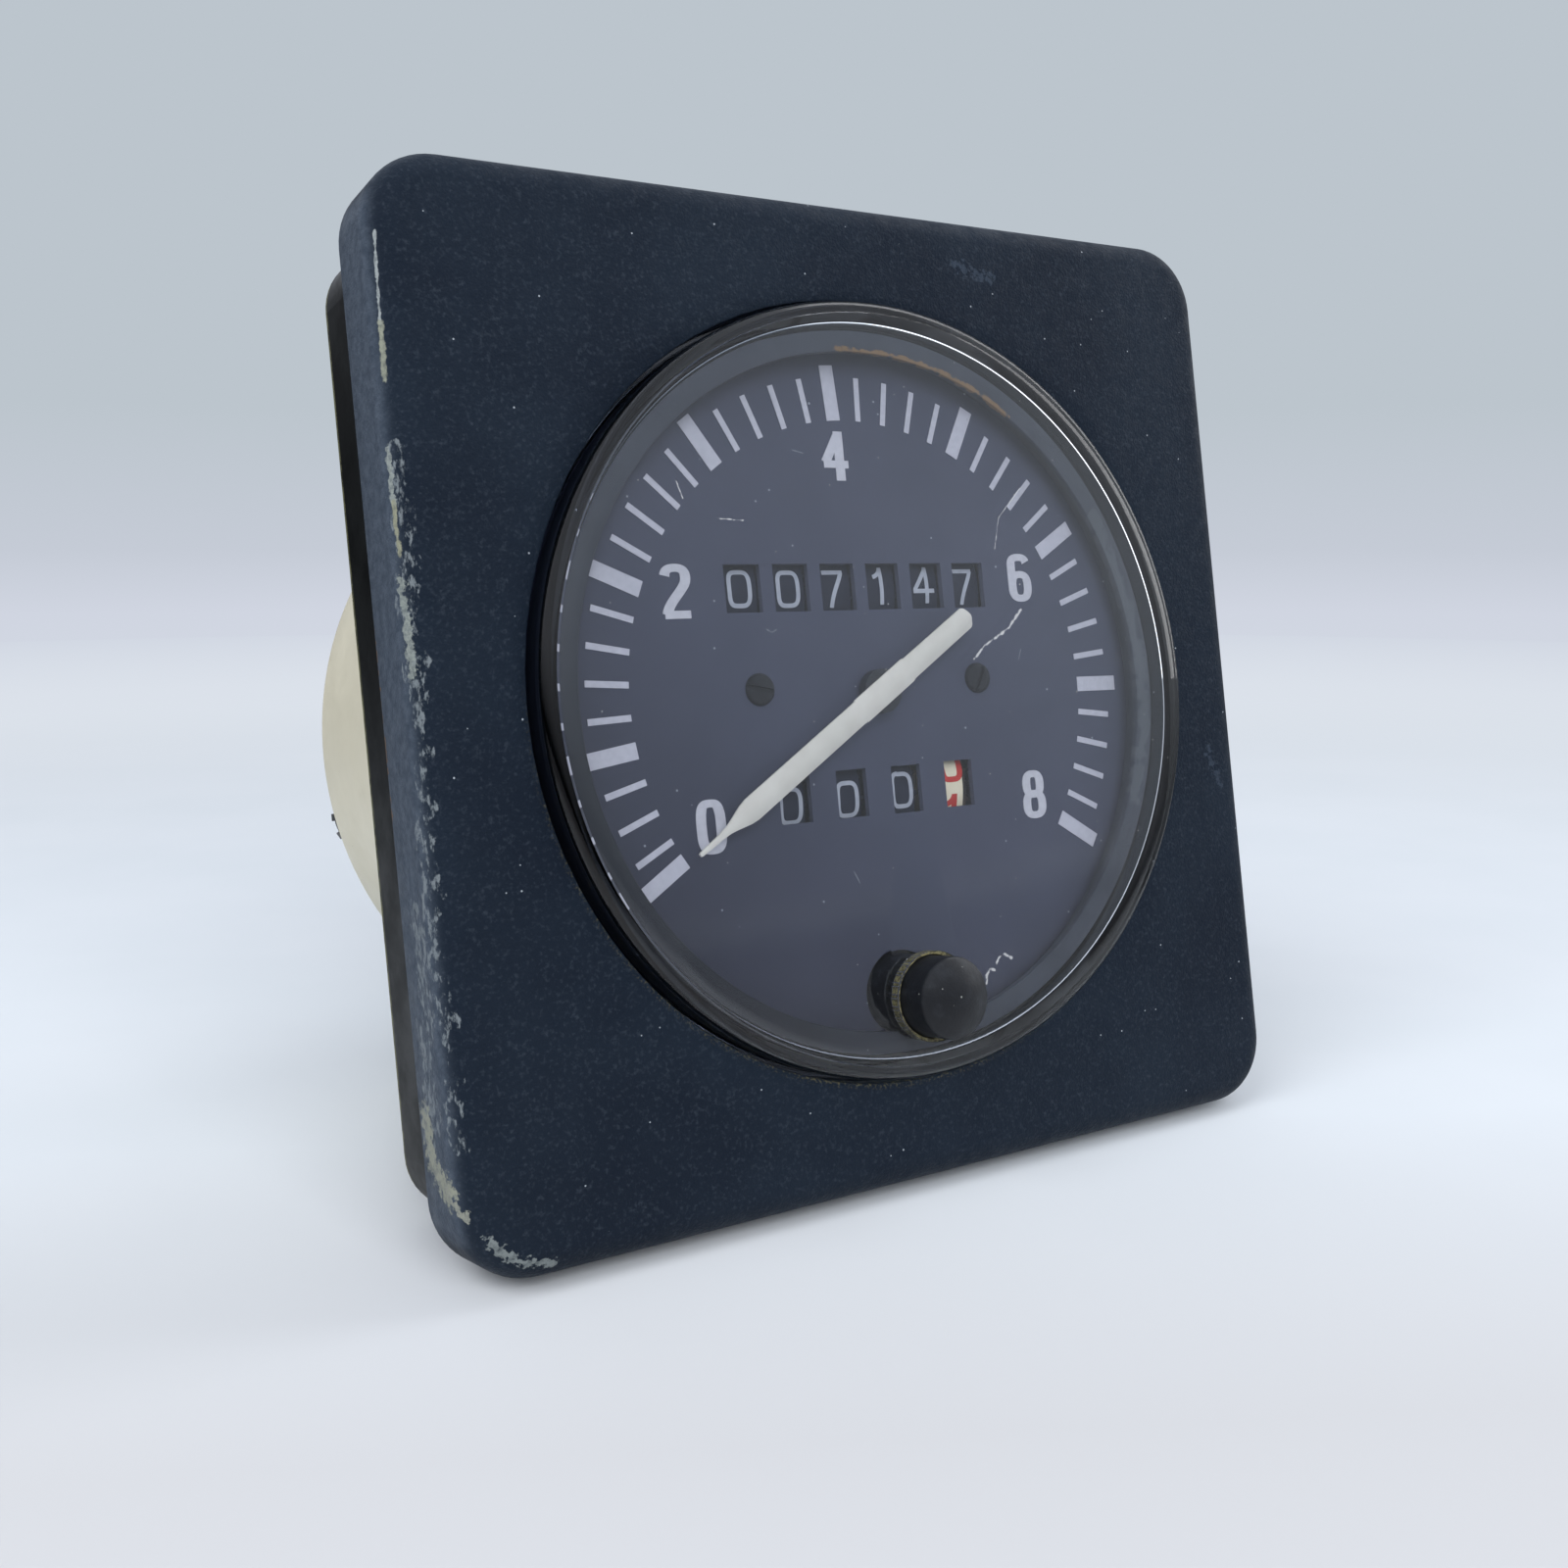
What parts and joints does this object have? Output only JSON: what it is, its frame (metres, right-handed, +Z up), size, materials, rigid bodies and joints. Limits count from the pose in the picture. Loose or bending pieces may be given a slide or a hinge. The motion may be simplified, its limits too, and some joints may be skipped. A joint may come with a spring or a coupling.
{
  "type": "boat speedometer",
  "caption": "Square bulkhead boat speedometer: pointer dial in knots, total and trip roller counters, push-button trip reset and a round housing behind the panel.",
  "frame": {"origin": "on the dial's axis, in the plane of the panel that the rear of the surface frame sits on", "axes": "+X to the right seen from the front, +Y from the dial into the panel, +Z up"},
  "size_m": [0.11, 0.0926, 0.11],
  "materials": {
    "bezel_plastic": "moulded with a fine leather grain",
    "frame_plastic": "glossy black moulding",
    "ivory_plastic": "smooth ivory moulding",
    "clear_plastic": "clear polished acrylic",
    "black_rubber": "moulded",
    "trim_plastic": "matt moulding",
    "dial_paint": "matt printed aluminium",
    "dark_screw": "blackened steel",
    "turned_aluminium": "turned",
    "pointer_paint": "cream paint on aluminium",
    "hub_plastic": "moulded",
    "bright_steel": "ground",
    "magnet": "sintered magnet",
    "brass": "turned",
    "bobbin_plastic": "natural nylon",
    "enamelled_wire": "wound enamelled copper wire",
    "plated_steel": "zinc plated sheet",
    "drum_black": "moulded black with printed digits",
    "drum_cream": "moulded cream with printed digits",
    "gear_plastic": "moulded acetal",
    "motor_steel": "drawn steel can",
    "knob_plastic": "satin black moulding",
    "olive_seal": "moulded ring",
    "passivated_steel": "zinc plated and yellow passivated",
    "board_laminate": "glass fibre laminate with solder mask",
    "component_plastic": "moulded component bodies",
    "holder_plastic": "black moulding",
    "bulb_glass": "clear",
    "tinned_brass": "tinned"
  },
  "bodies": {
    "case": {"bezel": "bezel_plastic", "mounting_frame": "frame_plastic", "housing": "ivory_plastic", "lens": "clear_plastic", "lens_seal": "black_rubber", "dial_trim_ring": "trim_plastic", "dial_plate": "dial_paint", "dial_screws": "dark_screw", "dial_pillars": "turned_aluminium", "spindle_bearings": "brass", "bobbin_front": "bobbin_plastic", "bobbin_rear": "bobbin_plastic", "inner_coil": "enamelled_wire", "outer_coil": "enamelled_wire", "shield_can": "plated_steel", "counter_frame": "plated_steel", "counter_shafts": "bright_steel", "pinion_shafts": "bright_steel", "gear_plate": "plated_steel", "counter_motor": "motor_steel", "knob_seal": "olive_seal", "lever_shaft": "bright_steel", "circuit_board": "board_laminate", "board_parts": "component_plastic", "board_posts": "turned_aluminium", "rear_screws": "plated_steel", "lamp_holders": "holder_plastic", "bulbs": "bulb_glass", "terminal_block": "holder_plastic", "blade_terminals": "tinned_brass", "mounting_studs": "passivated_steel"},
    "pointer": {"pointer": "pointer_paint", "pointer_hub": "hub_plastic", "pointer_spindle": "bright_steel", "magnet_rotor": "magnet"},
    "reset_button": {"reset_knob": "knob_plastic", "reset_rod": "bright_steel", "reset_spring": "bright_steel"},
    "reset_lever": {"reset_lever": "passivated_steel"},
    "total_units": {"total_drum_units": "drum_black"},
    "total_tens": {"total_drum_tens": "drum_black"},
    "total_hundreds": {"total_drum_hundreds": "drum_black"},
    "total_thousands": {"total_drum_thousands": "drum_black"},
    "total_ten_thousands": {"total_drum_ten_thousands": "drum_black"},
    "total_hundred_thousands": {"total_drum_hundred_thousands": "drum_black"},
    "trip_tenths": {"trip_drum_tenths": "drum_cream"},
    "trip_units": {"trip_drum_units": "drum_black"},
    "trip_tens": {"trip_drum_tens": "drum_black"},
    "trip_hundreds": {"trip_drum_hundreds": "drum_black"},
    "total_pinion_1": {"total_pinion_1": "gear_plastic"},
    "total_pinion_2": {"total_pinion_2": "gear_plastic"},
    "total_pinion_3": {"total_pinion_3": "gear_plastic"},
    "total_pinion_4": {"total_pinion_4": "gear_plastic"},
    "total_pinion_5": {"total_pinion_5": "gear_plastic"},
    "trip_pinion_1": {"trip_pinion_1": "gear_plastic"},
    "trip_pinion_2": {"trip_pinion_2": "gear_plastic"},
    "trip_pinion_3": {"trip_pinion_3": "gear_plastic"},
    "drive_pinion": {"drive_pinion": "brass"},
    "idler_gear": {"idler_gear": "gear_plastic"},
    "total_drive_gear": {"total_drive_gear": "gear_plastic"}
  },
  "joints": [
    {"name": "pointer_turn", "type": "hinge", "parent": "case", "child": "pointer", "pos_m": [0, 0, 0], "axis": [0, 1, 0], "range_deg": [0, 244.6]},
    {"name": "trip_tenths_turn", "type": "hinge", "parent": "case", "child": "trip_tenths", "pos_m": [0, -0.0097, -0.01125], "axis": [-1, 0, 0], "continuous": true},
    {"name": "drive_pinion_turn", "type": "hinge", "parent": "case", "child": "drive_pinion", "pos_m": [0, 0.00119, -0.01317], "axis": [-1, 0, 0], "continuous": true},
    {"name": "idler_gear_turn", "type": "hinge", "parent": "case", "child": "idler_gear", "pos_m": [0, 0.00495, -0.00277], "axis": [-1, 0, 0], "continuous": true},
    {"name": "total_drive_gear_turn", "type": "hinge", "parent": "case", "child": "total_drive_gear", "pos_m": [0, -0.00055, 0.00682], "axis": [-1, 0, 0], "continuous": true},
    {"name": "trip_units_turn", "type": "hinge", "parent": "case", "child": "trip_units", "pos_m": [0, -0.0097, -0.01125], "axis": [-1, 0, 0], "continuous": true},
    {"name": "trip_pinion_1_turn", "type": "hinge", "parent": "case", "child": "trip_pinion_1", "pos_m": [0, -0.00161, -0.00446], "axis": [-1, 0, 0], "continuous": true},
    {"name": "trip_tens_turn", "type": "hinge", "parent": "case", "child": "trip_tens", "pos_m": [0, -0.0097, -0.01125], "axis": [-1, 0, 0], "continuous": true},
    {"name": "trip_pinion_2_turn", "type": "hinge", "parent": "case", "child": "trip_pinion_2", "pos_m": [0, -0.00161, -0.00446], "axis": [-1, 0, 0], "continuous": true},
    {"name": "trip_hundreds_turn", "type": "hinge", "parent": "case", "child": "trip_hundreds", "pos_m": [0, -0.0097, -0.01125], "axis": [-1, 0, 0], "continuous": true},
    {"name": "trip_pinion_3_turn", "type": "hinge", "parent": "case", "child": "trip_pinion_3", "pos_m": [0, -0.00161, -0.00446], "axis": [-1, 0, 0], "continuous": true},
    {"name": "total_units_turn", "type": "hinge", "parent": "case", "child": "total_units", "pos_m": [0, -0.0097, 0.0121], "axis": [-1, 0, 0], "continuous": true},
    {"name": "total_tens_turn", "type": "hinge", "parent": "case", "child": "total_tens", "pos_m": [0, -0.0097, 0.0121], "axis": [-1, 0, 0], "continuous": true},
    {"name": "total_pinion_1_turn", "type": "hinge", "parent": "case", "child": "total_pinion_1", "pos_m": [0, -0.00055, 0.00682], "axis": [-1, 0, 0], "continuous": true},
    {"name": "total_hundreds_turn", "type": "hinge", "parent": "case", "child": "total_hundreds", "pos_m": [0, -0.0097, 0.0121], "axis": [-1, 0, 0], "continuous": true},
    {"name": "total_pinion_2_turn", "type": "hinge", "parent": "case", "child": "total_pinion_2", "pos_m": [0, -0.00055, 0.00682], "axis": [-1, 0, 0], "continuous": true},
    {"name": "total_thousands_turn", "type": "hinge", "parent": "case", "child": "total_thousands", "pos_m": [0, -0.0097, 0.0121], "axis": [-1, 0, 0], "continuous": true},
    {"name": "total_pinion_3_turn", "type": "hinge", "parent": "case", "child": "total_pinion_3", "pos_m": [0, -0.00055, 0.00682], "axis": [-1, 0, 0], "continuous": true},
    {"name": "total_ten_thousands_turn", "type": "hinge", "parent": "case", "child": "total_ten_thousands", "pos_m": [0, -0.0097, 0.0121], "axis": [-1, 0, 0], "continuous": true},
    {"name": "total_pinion_4_turn", "type": "hinge", "parent": "case", "child": "total_pinion_4", "pos_m": [0, -0.00055, 0.00682], "axis": [-1, 0, 0], "continuous": true},
    {"name": "total_hundred_thousands_turn", "type": "hinge", "parent": "case", "child": "total_hundred_thousands", "pos_m": [0, -0.0097, 0.0121], "axis": [-1, 0, 0], "continuous": true},
    {"name": "total_pinion_5_turn", "type": "hinge", "parent": "case", "child": "total_pinion_5", "pos_m": [0, -0.00055, 0.00682], "axis": [-1, 0, 0], "continuous": true},
    {"name": "reset_push", "type": "slide", "parent": "case", "child": "reset_button", "axis": [0, 1, 0], "range_m": [0, 0.0025], "stiffness_N_per_m": 400, "springref_m": -0.001, "deforming": ["reset_spring"]},
    {"name": "reset_lever_turn", "type": "hinge", "parent": "case", "child": "reset_lever", "pos_m": [0, 0, -0.0265], "axis": [1, 0, 0], "range_deg": [0, 18]}
  ],
  "couplings": [
    {"joint": "drive_pinion_turn", "follows": "trip_tenths_turn", "ratio": -3},
    {"joint": "idler_gear_turn", "follows": "trip_tenths_turn", "ratio": 1},
    {"joint": "total_drive_gear_turn", "follows": "trip_tenths_turn", "ratio": -0.25},
    {"joint": "trip_units_turn", "follows": "trip_tenths_turn", "ratio": 0.1},
    {"joint": "trip_pinion_1_turn", "follows": "trip_tenths_turn", "ratio": -0.25},
    {"joint": "trip_tens_turn", "follows": "trip_tenths_turn", "ratio": 0.01},
    {"joint": "trip_pinion_2_turn", "follows": "trip_tenths_turn", "ratio": -0.025},
    {"joint": "trip_hundreds_turn", "follows": "trip_tenths_turn", "ratio": 0.001},
    {"joint": "trip_pinion_3_turn", "follows": "trip_tenths_turn", "ratio": -0.0025},
    {"joint": "total_units_turn", "follows": "trip_tenths_turn", "ratio": 0.1},
    {"joint": "total_tens_turn", "follows": "trip_tenths_turn", "ratio": 0.01},
    {"joint": "total_pinion_1_turn", "follows": "trip_tenths_turn", "ratio": -0.025},
    {"joint": "total_hundreds_turn", "follows": "trip_tenths_turn", "ratio": 0.001},
    {"joint": "total_pinion_2_turn", "follows": "trip_tenths_turn", "ratio": -0.0025},
    {"joint": "total_thousands_turn", "follows": "trip_tenths_turn", "ratio": 0.0001},
    {"joint": "total_pinion_3_turn", "follows": "trip_tenths_turn", "ratio": -0.00025},
    {"joint": "total_ten_thousands_turn", "follows": "trip_tenths_turn", "ratio": 0.00001},
    {"joint": "total_pinion_4_turn", "follows": "trip_tenths_turn", "ratio": -0.000025},
    {"joint": "total_hundred_thousands_turn", "follows": "trip_tenths_turn", "ratio": 0.000001},
    {"joint": "total_pinion_5_turn", "follows": "trip_tenths_turn", "ratio": -0.0000025},
    {"joint": "reset_lever_turn", "follows": "reset_push", "rad_per_m": 125.6}
  ]
}
